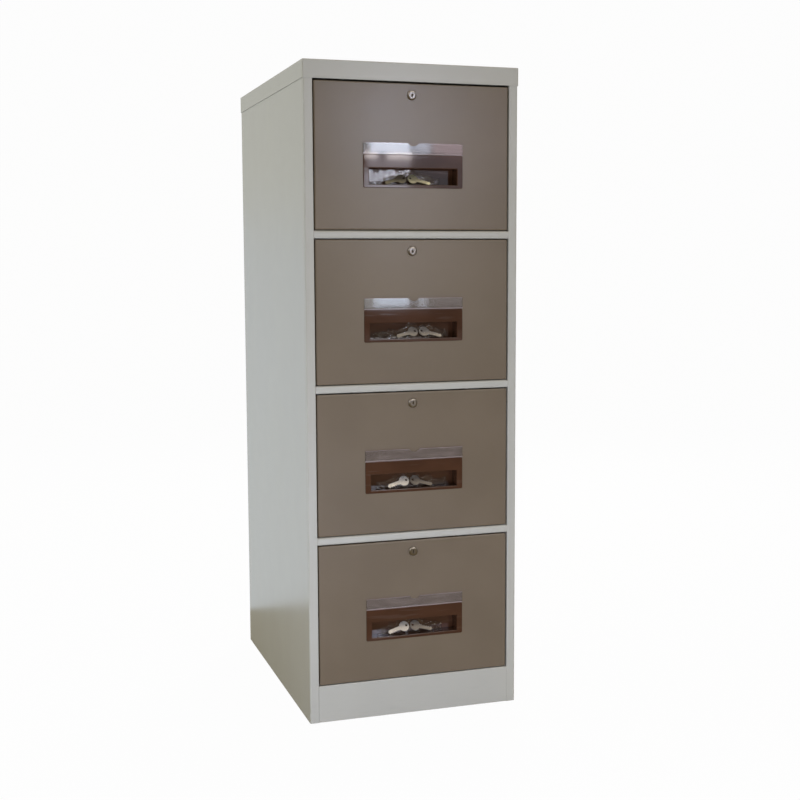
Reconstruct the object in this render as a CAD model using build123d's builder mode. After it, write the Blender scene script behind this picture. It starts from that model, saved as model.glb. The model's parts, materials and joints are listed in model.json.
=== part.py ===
"""Four-drawer vertical filing cabinet in folded sheet steel.

Millimetres, +Z up, front faces -Y, +X to the right of someone facing the front.
The origin is on the floor at the centre of the cabinet's outer box.
Drawers are numbered from the top.
"""
import os
from build123d import *

os.makedirs("parts", exist_ok=True)

# Overall sizes
cabinet_width = 450
cabinet_height = 1320
cap_depth = 623
drawer_count = 4

# Sheet steel
sheet = 0.8
runner_sheet = 1.2
seam_radius = 2.0
corner_radius = 3.5

# Top cap
cap_height = 35.4
cap_overhang = 1.5
cap_to_opening = 1.6

# Front frame
stile_width = 18.5
stile_return = 20
stile_edge_radius = 1.2
rail_height = 16
rail_depth = 20
rail_nose_radius = 5.0
top_rail_height = 20
plinth_height = 76.2
plinth_flange = 30
plinth_lip = 10

# Sides, back and base
rear_flange = 15
foot_flange = 25
foot_flange_start = 35
back_edge_fold = 15
base_edge_fold = 20
base_front_gap = 1

# Uprights that carry the runners
upright_width = 40
upright_front_start = 36
upright_rear_gap = 47

# Drawer fronts
front_side_gap = 2.5
front_top_gap = 1.9
front_bottom_gap = 1.2
front_recess = 0.8
front_depth = 30.2
front_edge_radius = 2.5

# Drawer bodies
tray_floor_gap = 10
tray_top_gap = 48
tray_rear_gap = 28
tray_lip = 8
tray_bend_radius = 3.0

# Runners
runner_thickness = 12.7
runner_height = 45
runner_rear_gap = 36
runner_gap = 0.4
runner_lip_end = 1.6
runner_above_floor = 42.5
runner_front_gap = 2
upright_clearance = 1.0

# Handle, set in the lower middle of each front
handle_width = 208
handle_height = 65
handle_above_floor = 83.7
handle_proud = 2.0
handle_wall = 2.5
handle_side_border = 12
handle_bottom_border = 6.5
handle_top_border = 6.5
handle_pocket_depth = 25.5
handle_mouth_height = 32
grip_thickness = 3.6
grip_edge_radius = 1.4
handle_corner_radius = 3.0
handle_edge_radius = 1.0
handle_cut_clearance = 0.5

# Card holder above the handle
card_holder_height = 22.5
card_holder_proud = 2.2
card_window = 1.0
card_border = 2.0
card_lip_height = 2.2
card_lip_proud = 0.7
card_holder_gap = 0.3
notch_half_width = 11
notch_depth = 6

# Cam lock near the top centre of each front
lock_x = -3
lock_below_top = 25.1
lock_ring_radius = 9.5
lock_ring_fillet = 3.4
lock_proud = 4.5
lock_barrel_radius = 7.5
lock_barrel_length = 18.5
lock_hole_clearance = 0.1
plug_radius = 5.5
plug_clearance = 0.08
plug_recess = 0.5
plug_tail = 6
plug_head_radius = 4.5
plug_head_thickness = 1.5
keyway_width = 2.0
keyway_height = 7.4
keyway_depth = 9
nut_across_flats = 20
nut_thickness = 3
nut_clearance = 0.05
cam_width = 14
cam_thickness = 1.5
cam_tip_radius = 3.5
cam_grip = 8
cam_rail_clearance = 1.0
cam_notch_clearance = 5

# Keys lying in the pocket
key_bow_radius = 10.5
key_hole_radius = 2.6
key_hole_offset = 5.2
key_thickness = 2.0
key_blade_length = 27
key_blade_width = 8
key_tip_chamfer = 3
key_bit_count = 4
key_bit_pitch = 5
key_bit_depth = 1.6
key_bow_spacing = 24
key_lean = 32
key_tilt = 17
key_stand_off = 0.1
key_pair_shift = (-7, 16, -4, -5)

# Worked-out places
body_width = cabinet_width - 2 * cap_overhang
body_half = body_width / 2
body_depth = cap_depth - 2 * cap_overhang
front_reach = max(cap_overhang, lock_proud - front_recess)
overall_depth = front_reach + body_depth + cap_overhang
front_y = front_reach - overall_depth / 2
rear_y = front_y + body_depth
opening_half = body_half - stile_width
rails_height = (drawer_count - 1) * rail_height
openings_top = cabinet_height - cap_height - cap_to_opening
opening_height = (openings_top - plinth_height - rails_height) / drawer_count
drawer_pitch = opening_height + rail_height
cap_underside = cabinet_height - sheet
cap_fold_radius = min(seam_radius, cap_overhang)
side_inner_x = body_half - sheet
back_front_y = rear_y - 2 * sheet
back_half = body_half - seam_radius
base_top = 2 * sheet

front_half = opening_half - front_side_gap
front_height = opening_height - front_top_gap - front_bottom_gap
face_y = front_y + front_recess
panel_y = face_y + front_depth
runner_outer_x = front_half + upright_clearance
tray_half = runner_outer_x - runner_thickness
tray_rear_y = back_front_y - tray_rear_gap
runner_front_y = panel_y + sheet + runner_front_gap
runner_rear_y = back_front_y - runner_rear_gap

handle_half = handle_width / 2
mouth_half = handle_half - handle_side_border
pocket_floor = handle_above_floor + handle_bottom_border
pocket_ceiling = handle_above_floor + handle_height - handle_top_border
pocket_rear_y = face_y + handle_pocket_depth
card_floor = handle_above_floor + handle_height + card_holder_gap

cam_front_y = front_y + rail_depth + cam_rail_clearance
cam_rear_y = cam_front_y + cam_thickness
cam_reach = lock_below_top + cam_grip
cam_notch_half = cam_reach + cam_notch_clearance


def level(y):
    """Return the upright plane at depth y that faces the front, with X across and Z up."""
    return Plane.XZ.offset(-y)


def slab(x_range, y_range, z_range, mode=Mode.ADD):
    """Add or cut the block between three pairs of limits in the part being built."""
    sizes = [high - low for low, high in (x_range, y_range, z_range)]
    centre = [(high + low) / 2 for low, high in (x_range, y_range, z_range)]
    with Locations(tuple(centre)):
        Box(*sizes, mode=mode)


def opening_floor(number):
    """Return the height of the floor of a drawer's opening, counted from the top."""
    return plinth_height + (drawer_count - number) * drawer_pitch


# Right side: stile, wall, rear flange and foot flange in one folded sheet
with BuildPart() as side_panel_right:
    with BuildSketch(Plane.XY):
        with BuildLine():
            FilletPolyline(
                (opening_half, front_y + stile_return),
                (opening_half, front_y),
                (body_half, front_y),
                (body_half, rear_y),
                (body_half - rear_flange, rear_y),
                radius=(stile_edge_radius, corner_radius, seam_radius),
            )
            offset(amount=sheet, side=Side.LEFT)
        make_face()
    extrude(amount=cap_underside)
    slab(
        (body_half - foot_flange, body_half - sheet / 2),
        (front_y + foot_flange_start, rear_y - sheet),
        (0, sheet),
    )
side_panel_right.part.label = "side_panel_right"
export_step(side_panel_right.part, "parts/side_panel_right.step")

with BuildPart() as side_panel_left:
    mirror(side_panel_right.part, about=Plane.YZ)
side_panel_left.part.label = "side_panel_left"
export_step(side_panel_left.part, "parts/side_panel_left.step")

# Back: sheet inside the rear flanges, folded forwards along its top
with BuildPart() as back_panel:
    slab(
        (-back_half, back_half),
        (back_front_y, back_front_y + sheet),
        (base_top, cap_underside),
    )
    slab(
        (-back_half, back_half),
        (back_front_y - back_edge_fold, back_front_y + sheet),
        (cap_underside - sheet, cap_underside),
    )
back_panel.part.label = "back_panel"
export_step(back_panel.part, "parts/back_panel.step")

# Cap: pan turned upside down over the top of the body
with BuildPart() as top_cap:
    slab(
        (-cabinet_width / 2, cabinet_width / 2),
        (front_y - cap_overhang, rear_y + cap_overhang),
        (cabinet_height - cap_height, cabinet_height),
    )
    fillet(top_cap.edges().filter_by(Axis.Z), radius=corner_radius)
    fillet(top_cap.faces().sort_by(Axis.Z)[-1].edges(), radius=cap_fold_radius)
    offset(amount=-sheet, openings=top_cap.faces().sort_by(Axis.Z)[0])
top_cap.part.label = "top_cap"
export_step(top_cap.part, "parts/top_cap.step")

# Plinth: kick panel with a shelf and a lip at the top and a flange on the floor
with BuildPart() as plinth:
    with BuildSketch(Plane.YZ):
        with BuildLine():
            FilletPolyline(
                (front_y + plinth_flange, 0),
                (front_y, 0),
                (front_y, plinth_height),
                (front_y + plinth_flange, plinth_height),
                (front_y + plinth_flange, plinth_height - plinth_lip),
                radius=seam_radius,
            )
            offset(amount=sheet, side=Side.RIGHT)
        make_face()
    extrude(amount=opening_half, both=True)
plinth.part.label = "plinth"
export_step(plinth.part, "parts/plinth.step")

# Base: floor sheet on the foot flanges, folded up at the front and the back
with BuildPart() as base_pan:
    slab(
        (-side_inner_x, side_inner_x),
        (front_y + plinth_flange + base_front_gap, back_front_y),
        (sheet, base_top),
    )
    slab(
        (-opening_half, opening_half),
        (
            front_y + plinth_flange + base_front_gap,
            front_y + plinth_flange + base_front_gap + sheet,
        ),
        (sheet, sheet + base_edge_fold),
    )
    slab(
        (-opening_half, opening_half),
        (back_front_y - sheet, back_front_y),
        (sheet, sheet + base_edge_fold),
    )
base_pan.part.label = "base_pan"
export_step(base_pan.part, "parts/base_pan.step")

# Rails: channels with a rounded nose, open at the back
rail_floors = {
    f"cross_rail_{number}": (opening_floor(number) - rail_height, rail_height)
    for number in range(1, drawer_count)
}
rail_floors["top_rail"] = (cabinet_height - cap_height, top_rail_height)
for rail_name, (rail_floor, height) in rail_floors.items():
    with BuildPart() as rail:
        with BuildSketch(Plane.YZ):
            with BuildLine():
                FilletPolyline(
                    (front_y + rail_depth, rail_floor),
                    (front_y, rail_floor),
                    (front_y, rail_floor + height),
                    (front_y + rail_depth, rail_floor + height),
                    radius=rail_nose_radius,
                )
                offset(amount=sheet, side=Side.RIGHT)
            make_face()
        extrude(amount=opening_half, both=True)
    rail.part.label = rail_name
    export_step(rail.part, f"parts/{rail_name}.step")

# Uprights: channels from the base to the cap, flanges against the side wall
upright_starts = {
    "front": front_y + upright_front_start,
    "rear": back_front_y - upright_rear_gap - upright_width,
}
for place, start_y in upright_starts.items():
    with BuildPart() as upright_right:
        with BuildSketch(Plane.XY.offset(base_top)):
            with BuildLine():
                FilletPolyline(
                    (side_inner_x, start_y),
                    (runner_outer_x, start_y),
                    (runner_outer_x, start_y + upright_width),
                    (side_inner_x, start_y + upright_width),
                    radius=seam_radius,
                )
                offset(amount=runner_sheet, side=Side.RIGHT)
            make_face()
        extrude(amount=cap_underside - base_top)
    upright_right.part.label = f"upright_{place}_right"
    export_step(upright_right.part, f"parts/upright_{place}_right.step")

    with BuildPart() as upright_left:
        mirror(upright_right.part, about=Plane.YZ)
    upright_left.part.label = f"upright_{place}_left"
    export_step(upright_left.part, f"parts/upright_{place}_left.step")

# One loose key, flat on XY with its bow at the origin and its tip towards +X
with BuildPart() as key_blank:
    with BuildSketch(Plane.XY):
        Circle(key_bow_radius)
        with BuildLine():
            blade_end = key_bow_radius + key_blade_length
            half_blade = key_blade_width / 2
            Polyline(
                (0, -half_blade),
                (blade_end - key_tip_chamfer, -half_blade),
                (blade_end, 0),
                (blade_end - key_tip_chamfer, half_blade),
                (0, half_blade),
                close=True,
            )
        make_face()
        with Locations((-key_hole_offset, 0)):
            Circle(key_hole_radius, mode=Mode.SUBTRACT)
        bit_row = key_bow_radius + key_blade_length / 2
        with Locations((bit_row, half_blade)):
            with GridLocations(key_bit_pitch, 0, key_bit_count, 1):
                Circle(key_bit_depth, mode=Mode.SUBTRACT)
    extrude(amount=key_thickness)

for number in range(1, drawer_count + 1):
    floor = opening_floor(number)
    front_floor = floor + front_bottom_gap
    runner_z = floor + runner_above_floor
    lock_z = floor + opening_height - lock_below_top
    handle_floor = floor + handle_above_floor

    # Drawer front: pan open at the back, with a notch in its top edge for the cam
    with BuildPart() as front:
        slab(
            (-front_half, front_half),
            (face_y, panel_y),
            (front_floor, front_floor + front_height),
        )
        fillet(front.edges().filter_by(Axis.Y), radius=front_edge_radius)
        fillet(front.faces().sort_by(Axis.Y)[0].edges(), radius=front_edge_radius)
        offset(amount=-sheet, openings=front.faces().sort_by(Axis.Y)[-1])
        slab(
            (lock_x - cam_notch_half, lock_x + cam_notch_half),
            (cam_front_y - cam_notch_clearance, panel_y),
            (front_floor + front_height / 2, front_floor + front_height),
            mode=Mode.SUBTRACT,
        )
        slab(
            (
                -mouth_half - handle_wall - handle_cut_clearance,
                mouth_half + handle_wall + handle_cut_clearance,
            ),
            (face_y - sheet, face_y + 2 * sheet),
            (
                floor + pocket_floor - handle_wall - handle_cut_clearance,
                floor + pocket_ceiling + handle_wall + handle_cut_clearance,
            ),
            mode=Mode.SUBTRACT,
        )
        with BuildSketch(level(face_y + 2 * sheet)):
            with Locations((lock_x, lock_z)):
                Circle(lock_barrel_radius + lock_hole_clearance)
        extrude(amount=3 * sheet, mode=Mode.SUBTRACT)
    front.part.label = f"front_{number}"
    export_step(front.part, f"parts/front_{number}.step")

    # Tray: open box with rolled-in top edges, closed at the front by the inner panel
    tray_floor = floor + tray_floor_gap
    tray_top = floor + opening_height - tray_top_gap
    with BuildPart() as tray:
        slab((-tray_half, tray_half), (panel_y, tray_rear_y), (tray_floor, tray_top))
        fillet(tray.faces().sort_by(Axis.Z)[0].edges().filter_by(Axis.Y), radius=tray_bend_radius)
        offset(amount=-sheet, openings=tray.faces().sort_by(Axis.Z)[-1])
        for side in (-1, 1):
            slab(
                sorted((side * tray_half, side * (tray_half - tray_lip))),
                (panel_y, tray_rear_y),
                (tray_top - sheet, tray_top),
            )
        slab(
            (-tray_half, tray_half),
            (tray_rear_y - tray_lip, tray_rear_y),
            (tray_top - sheet, tray_top),
        )
        slab(
            (-front_half, front_half),
            (panel_y, panel_y + sheet),
            (front_floor, front_floor + front_height),
        )
    tray.part.label = f"tray_{number}"
    export_step(tray.part, f"parts/tray_{number}.step")

    # Handle: flange on the drawer's face, pocket behind it, grip across the top of the mouth
    with BuildPart() as handle:
        slab(
            (-handle_half, handle_half),
            (face_y - handle_proud, face_y),
            (handle_floor, handle_floor + handle_height),
        )
        fillet(handle.edges().filter_by(Axis.Y), radius=handle_corner_radius)
        fillet(handle.faces().sort_by(Axis.Y)[0].edges(), radius=handle_edge_radius)
        slab(
            (-mouth_half - handle_wall, mouth_half + handle_wall),
            (face_y - handle_wall / 2, pocket_rear_y + handle_wall),
            (floor + pocket_floor - handle_wall, floor + pocket_ceiling + handle_wall),
        )
        slab(
            (-mouth_half, mouth_half),
            (face_y - handle_proud + grip_thickness, pocket_rear_y),
            (floor + pocket_floor, floor + pocket_ceiling),
            mode=Mode.SUBTRACT,
        )
        slab(
            (-mouth_half, mouth_half),
            (face_y - 2 * handle_proud, pocket_rear_y),
            (floor + pocket_floor, floor + pocket_floor + handle_mouth_height),
            mode=Mode.SUBTRACT,
        )
        mouth_edges = handle.faces().sort_by(Axis.Y)[0].inner_wires()[0].edges()
        fillet(mouth_edges, radius=grip_edge_radius)
    handle.part.label = f"handle_{number}"
    export_step(handle.part, f"parts/handle_{number}.step")

    # Card holder: clear strip with a slot behind its window and a thumb notch at the top
    with BuildPart() as card_holder:
        strip_floor = floor + card_floor
        strip_top = strip_floor + card_holder_height
        slab(
            (-handle_half, handle_half),
            (face_y - card_holder_proud, face_y),
            (strip_floor, strip_top),
        )
        slab(
            (-handle_half, handle_half),
            (face_y - card_holder_proud - card_lip_proud, face_y),
            (strip_floor, strip_floor + card_lip_height),
        )
        slab(
            (-handle_half + card_border, handle_half - card_border),
            (face_y - card_holder_proud + card_window, face_y),
            (strip_floor + card_border, strip_top),
            mode=Mode.SUBTRACT,
        )
        notch_radius = (notch_half_width**2 + notch_depth**2) / (2 * notch_depth)
        with BuildSketch(level(face_y)):
            with Locations((0, strip_top + notch_radius - notch_depth)):
                Circle(notch_radius)
        extrude(amount=2 * card_holder_proud, mode=Mode.SUBTRACT)
    card_holder.part.label = f"card_holder_{number}"
    export_step(card_holder.part, f"parts/card_holder_{number}.step")

    # Lock body: ring and barrel through the front, held by a hexagon nut behind the sheet
    with BuildPart() as lock_body:
        with BuildSketch(level(face_y)):
            with Locations((lock_x, lock_z)):
                Circle(lock_ring_radius)
        extrude(amount=lock_proud)
        fillet(lock_body.faces().sort_by(Axis.Y)[0].edges(), radius=lock_ring_fillet)
        with BuildSketch(level(face_y)):
            with Locations((lock_x, lock_z)):
                Circle(lock_barrel_radius)
        extrude(amount=-lock_barrel_length)
        with BuildSketch(level(face_y - lock_proud)):
            with Locations((lock_x, lock_z)):
                Circle(plug_radius + plug_clearance)
        extrude(amount=-lock_proud - lock_barrel_length, mode=Mode.SUBTRACT)
        with BuildSketch(level(face_y + sheet)):
            with Locations((lock_x, lock_z)):
                RegularPolygon(nut_across_flats / 2, 6, major_radius=False)
                Circle(lock_barrel_radius + nut_clearance, mode=Mode.SUBTRACT)
        extrude(amount=-nut_thickness)
    lock_body.part.label = f"lock_body_{number}"
    export_step(lock_body.part, f"parts/lock_body_{number}.step")

    # Lock plug: cylinder with a keyway, a square tail and the head that holds the cam on
    with BuildPart() as lock_plug:
        plug_front_y = face_y - lock_proud + plug_recess
        with BuildSketch(level(plug_front_y)):
            with Locations((lock_x, lock_z)):
                Circle(plug_radius)
        extrude(amount=plug_front_y - cam_front_y)
        with BuildSketch(level(cam_front_y)):
            with Locations((lock_x, lock_z)):
                Rectangle(plug_tail, plug_tail)
        extrude(amount=-cam_thickness)
        with BuildSketch(level(cam_rear_y)):
            with Locations((lock_x, lock_z)):
                Circle(plug_head_radius)
        extrude(amount=-plug_head_thickness)
        with BuildSketch(level(plug_front_y)):
            with Locations((lock_x, lock_z)):
                SlotCenterToCenter(keyway_height - keyway_width, keyway_width, rotation=90)
        extrude(amount=-keyway_depth, mode=Mode.SUBTRACT)
    lock_plug.part.label = f"lock_plug_{number}"
    export_step(lock_plug.part, f"parts/lock_plug_{number}.step")

    # Lock cam: lies to the left when unlocked, turns up behind the rail when locked
    with BuildPart() as lock_cam:
        with BuildSketch(level(cam_front_y)):
            with Locations((lock_x, lock_z)):
                Circle(cam_width / 2)
            with Locations((lock_x - cam_reach / 2, lock_z)):
                Rectangle(cam_reach, cam_width)
            with Locations((lock_x, lock_z)):
                Rectangle(
                    plug_tail + 2 * nut_clearance,
                    plug_tail + 2 * nut_clearance,
                    mode=Mode.SUBTRACT,
                )
        extrude(amount=-cam_thickness)
        tip_edges = lock_cam.edges().filter_by(Axis.Y).group_by(Axis.X)[0]
        fillet(tip_edges, radius=cam_tip_radius)
    lock_cam.part.label = f"lock_cam_{number}"
    export_step(lock_cam.part, f"parts/lock_cam_{number}.step")

    # Keys: two, tips apart, leaning back in the handle's pocket
    with BuildPart() as keys:
        for side in (-1, 1):
            bow_x = key_pair_shift[number - 1] + side * key_bow_spacing / 2
            tip_angle = -key_tilt if side > 0 else 180 + key_tilt
            posed = Rotation(90 - key_lean, 0, 0) * Rotation(0, 0, tip_angle) * key_blank.part
            low = posed.bounding_box().min
            high = posed.bounding_box().max
            add(
                posed.moved(
                    Location(
                        (
                            bow_x,
                            pocket_rear_y - key_stand_off - high.Y,
                            floor + pocket_floor + key_stand_off - low.Z,
                        )
                    )
                )
            )
    keys.part.label = f"keys_{number}"
    export_step(keys.part, f"parts/keys_{number}.step")

    # Runners: three nested channels on each side, from the upright in to the tray
    outer_web = runner_outer_x
    middle_web = outer_web - runner_sheet - runner_gap
    inner_lip_end = middle_web - runner_sheet - runner_gap
    lip_end = tray_half + runner_lip_end
    outer_half = runner_height / 2
    middle_half = outer_half - runner_sheet - runner_gap
    inner_half = middle_half - runner_sheet - runner_gap
    members = {
        "outer": (outer_web, lip_end, outer_half),
        "middle": (middle_web, lip_end, middle_half),
        "inner": (tray_half, inner_lip_end, inner_half),
    }
    for member, (web_x, end_x, half) in members.items():
        inward = 1 if end_x < web_x else -1
        with BuildPart() as runner:
            slab(
                sorted((web_x, end_x)),
                (runner_front_y, runner_rear_y),
                (runner_z - half, runner_z + half),
            )
            slab(
                sorted((web_x - inward * runner_sheet, end_x - inward * runner_sheet)),
                (runner_front_y, runner_rear_y),
                (runner_z - half + runner_sheet, runner_z + half - runner_sheet),
                mode=Mode.SUBTRACT,
            )
            mirror(about=Plane.YZ)
        runner.part.label = f"runner_{member}_{number}"
        export_step(runner.part, f"parts/runner_{member}_{number}.step")
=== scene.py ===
"""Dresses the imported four-drawer filing cabinet and puts it into a pale studio.

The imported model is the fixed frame. Each sub-assembly is a class that gives its nodes their finish and
builds the pieces that only the looks need. Lengths are in metres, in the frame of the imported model:
X to the right of someone facing the drawers, Y from the front to the back, Z up, the floor at Z = 0.
"""
import json
import logging
import math
from dataclasses import dataclass
from enum import Enum

import bpy
import numpy as np
from mathutils import Matrix, Vector


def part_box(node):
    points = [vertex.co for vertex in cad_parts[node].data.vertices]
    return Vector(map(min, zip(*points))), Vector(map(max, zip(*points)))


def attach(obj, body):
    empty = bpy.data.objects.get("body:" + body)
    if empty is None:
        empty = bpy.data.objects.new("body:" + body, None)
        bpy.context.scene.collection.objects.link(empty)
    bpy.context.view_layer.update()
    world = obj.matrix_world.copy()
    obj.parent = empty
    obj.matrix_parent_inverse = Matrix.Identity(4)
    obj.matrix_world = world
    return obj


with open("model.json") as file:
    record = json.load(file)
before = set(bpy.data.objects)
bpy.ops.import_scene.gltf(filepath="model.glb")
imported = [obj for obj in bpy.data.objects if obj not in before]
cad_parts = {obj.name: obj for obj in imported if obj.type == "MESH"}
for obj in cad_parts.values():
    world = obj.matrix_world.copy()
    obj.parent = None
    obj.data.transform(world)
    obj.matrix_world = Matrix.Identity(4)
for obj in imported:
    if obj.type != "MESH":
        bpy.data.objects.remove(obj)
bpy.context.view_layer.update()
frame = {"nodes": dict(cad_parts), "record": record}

MM = 0.001
DRAWERS = (1, 2, 3, 4)
WINDOW_WALL_Y = -5.31
Colour = tuple[float, float, float]
Point = tuple[float, float, float]
Limits = tuple[float, float]
log = logging.getLogger("filing_cabinet")


class Slot(Enum):
    """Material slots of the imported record."""

    CABINET = "cabinet_enamel"
    DRAWER = "drawer_enamel"
    TRAY = "tray_enamel"
    RUNNER = "runner_zinc"
    HANDLE = "handle_plastic"
    CARD = "card_window"
    CHROME = "lock_chrome"
    CAM = "lock_steel"
    BRASS = "key_brass"
    NICKEL = "key_nickel"


class Sight(Enum):
    """Outputs of the Light Path node that the stage materials ask for."""

    CAMERA = "Is Camera Ray"
    GLOSSY = "Is Glossy Ray"
    TRANSMISSION = "Is Transmission Ray"


class Side(Enum):
    """Part of a key pair's width, from and to, as shares of it."""

    LEFT = (0.0, 0.5)
    RIGHT = (0.5, 1.0)
    BOTH = (0.0, 1.0)


class Signal:
    """One output socket in a material. Python operators on it add Math nodes behind it."""

    def __init__(self, net: "Net", socket: bpy.types.NodeSocket) -> None:
        """Keeps the socket and the net that it belongs to."""
        self.net = net
        self.socket = socket

    def _math(self, operation: str, *values: "Signal | float") -> "Signal":
        """Adds one Math node.

        Args:
            operation: Math node operation, such as MULTIPLY.
            values: The node's inputs, in order.

        Returns:
            The node's result.
        """
        return self.net.add("ShaderNodeMath", {"operation": operation}, dict(enumerate(values)))

    def __add__(self, other: "Signal | float") -> "Signal":
        """Sum."""
        return self._math("ADD", self, other)

    def __radd__(self, other: float) -> "Signal":
        """Sum with a number on the left."""
        return self._math("ADD", other, self)

    def __sub__(self, other: "Signal | float") -> "Signal":
        """Difference."""
        return self._math("SUBTRACT", self, other)

    def __rsub__(self, other: float) -> "Signal":
        """Difference with a number on the left, as in 1 - mask."""
        return self._math("SUBTRACT", other, self)

    def __mul__(self, other: "Signal | float") -> "Signal":
        """Product."""
        return self._math("MULTIPLY", self, other)

    def __rmul__(self, other: float) -> "Signal":
        """Product with a number on the left."""
        return self._math("MULTIPLY", other, self)

    def __mod__(self, other: float) -> "Signal":
        """Remainder, never negative for a positive divisor."""
        return self._math("FLOORED_MODULO", self, other)

    def __pow__(self, other: float) -> "Signal":
        """Power."""
        return self._math("POWER", self, other)

    def high(self, other: "Signal | float") -> "Signal":
        """The larger of the two."""
        return self._math("MAXIMUM", self, other)

    def step(self, start: float, end: float) -> "Signal":
        """Smooth step: 0 at start, 1 at end. The two may be in either order."""
        ranges = {"From Min": start, "From Max": end, "Value": self}
        return self.net.add("ShaderNodeMapRange", {"interpolation_type": "SMOOTHSTEP"}, ranges)


class Net:
    """The node tree of one material or of the world, with a few short ways to add nodes."""

    def __init__(self, tree: bpy.types.NodeTree) -> None:
        """Empties the tree."""
        self.tree = tree
        tree.nodes.clear()

    @classmethod
    def of_material(cls, name: str) -> "tuple[Net, bpy.types.Material]":
        """Makes a material.

        Args:
            name: Name of the material.

        Returns:
            The net of its empty tree, and the material.
        """
        material = bpy.data.materials.new(name)
        material.use_nodes = True
        return cls(material.node_tree), material

    def add(self, kind: str, settings: dict, inputs: dict, output: "int | str" = 0) -> Signal:
        """Adds any node.

        Args:
            kind: Blender's type name of the node.
            settings: Attributes of the node, set first.
            inputs: Values or signals by the socket's index, identifier or name.
            output: Index, identifier or name of the output that is wanted.

        Returns:
            That output.
        """
        node = self.tree.nodes.new(kind)
        for key, value in settings.items():
            setattr(node, key, value)
        for key, value in inputs.items():
            socket = self._find(node.inputs, key)
            if isinstance(value, Signal):
                self.tree.links.new(value.socket, socket)
            else:
                socket.default_value = value
        return Signal(self, self._find(node.outputs, output) if node.outputs else None)

    @staticmethod
    def _find(sockets: "bpy.types.bpy_prop_collection", key: "int | str") -> bpy.types.NodeSocket:
        """Finds a socket.

        Args:
            sockets: A node's inputs or outputs.
            key: Its index, identifier or name.

        Returns:
            The socket.
        """
        if isinstance(key, int):
            return sockets[key]
        by_identifier = {s.identifier: s for s in sockets}
        return by_identifier.get(key) or sockets[key]

    def place(self, scale: Point = (1, 1, 1), shift: Point = (0, 0, 0)) -> Signal:
        """Object coordinates in metres, scaled per axis and then shifted.

        Args:
            scale: Factors along X, Y and Z.
            shift: What is added after scaling.

        Returns:
            The coordinates.
        """
        where = self.add("ShaderNodeTexCoord", {}, {}, "Object")
        return self.add("ShaderNodeMapping", {}, {"Vector": where, "Scale": scale, "Location": shift})

    def part(self, vector: Signal, name: str) -> Signal:
        """The part of a vector that lies along X, Y or Z."""
        return self.add("ShaderNodeSeparateXYZ", {}, {"Vector": vector}, name)

    def axis(self, name: str) -> Signal:
        """One Object coordinate in metres: X, Y or Z."""
        return self.part(self.add("ShaderNodeTexCoord", {}, {}, "Object"), name)

    def facing_up(self, start: float, end: float) -> Signal:
        """How far the surface faces up: 0 where Z of its normal is start, 1 where it is end.

        Args:
            start: Z of the normal at 0.
            end: Z of the normal at 1.

        Returns:
            The mask.
        """
        return self.part(self.add("ShaderNodeNewGeometry", {}, {}, "Normal"), "Z").step(start, end)

    def sights(self) -> dict[Sight, Signal]:
        """1 for each kind of ray when it is one of that kind, else 0."""
        return {sight: self.add("ShaderNodeLightPath", {}, {}, sight.value) for sight in Sight}

    def noise(self, per_metre: float, detail: float, stretch: Point, shift: float) -> Signal:
        """Cloudy noise from 0 to 1.

        Args:
            per_metre: Lumps per metre.
            detail: Octaves above the first.
            stretch: Factors along X, Y and Z; a small one draws the lumps out along that axis.
            shift: Offset that picks another part of the noise.

        Returns:
            The noise.
        """
        where = self.place(stretch, (shift, shift, shift))
        return self.add("ShaderNodeTexNoise", {}, {"Vector": where, "Scale": per_metre, "Detail": detail})

    def blend(self, mask: "Signal | float", first: "Signal | Colour", second: "Signal | Colour",
              kind: str = "MIX") -> Signal:
        """Mixes two colours.

        Args:
            mask: Share of the second.
            first: Colour at 0.
            second: Colour at 1.
            kind: Blend type of the Mix node.

        Returns:
            The mixed colour.
        """
        def full(value: "Signal | Colour") -> "Signal | tuple":
            """A colour with its alpha, or the signal as it is."""
            return value if isinstance(value, Signal) else (*value, 1.0)

        inputs = {"Factor_Float": mask, "A_Color": full(first), "B_Color": full(second)}
        return self.add("ShaderNodeMix", {"data_type": "RGBA", "blend_type": kind}, inputs, "Result_Color")

    def bump(self, height: Signal, depth: float, under: "Signal | None" = None) -> Signal:
        """Turns a height from 0 to 1 into a normal.

        Args:
            height: The height.
            depth: Metres from height 0 to height 1.
            under: Normal of a coarser relief below this one.

        Returns:
            The normal.
        """
        inputs = {"Height": height, "Distance": depth, "Strength": 1.0}
        if under is not None:
            inputs["Normal"] = under
        return self.add("ShaderNodeBump", {}, inputs)

    def principled(self, **inputs: "Signal | float | Colour") -> Signal:
        """Adds a Principled shader.

        Args:
            inputs: Values or signals by the socket's name, with _ for a space.

        Returns:
            The shader.
        """
        named = {key.replace("_", " "): value for key, value in inputs.items()}
        for key, value in named.items():
            if isinstance(value, tuple):
                named[key] = (*value, 1.0)
        return self.add("ShaderNodeBsdfPrincipled", {}, named)

    def surface(self, shader: Signal, kind: str = "ShaderNodeOutputMaterial") -> None:
        """Joins the shader to the tree's output."""
        self.add(kind, {}, {"Surface": shader})


@dataclass(frozen=True)
class Pattern:
    """Cloudy noise in Object coordinates, and the limits between which a mask is cut from it."""

    per_metre: float
    detail: float = 1.0
    stretch: Point = (1, 1, 1)
    shift: float = 0.0
    limits: Limits = (0.0, 1.0)

    def noise(self, net: Net) -> Signal:
        """The noise itself, from 0 to 1, in the net of a material."""
        return net.noise(self.per_metre, self.detail, self.stretch, self.shift)

    def mask(self, net: Net) -> Signal:
        """The noise cut to its limits, in the net of a material."""
        return self.noise(net).step(*self.limits)


def shade(colour: Colour, factor: float) -> Colour:
    """A colour times a number."""
    return tuple(channel * factor for channel in colour)


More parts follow.
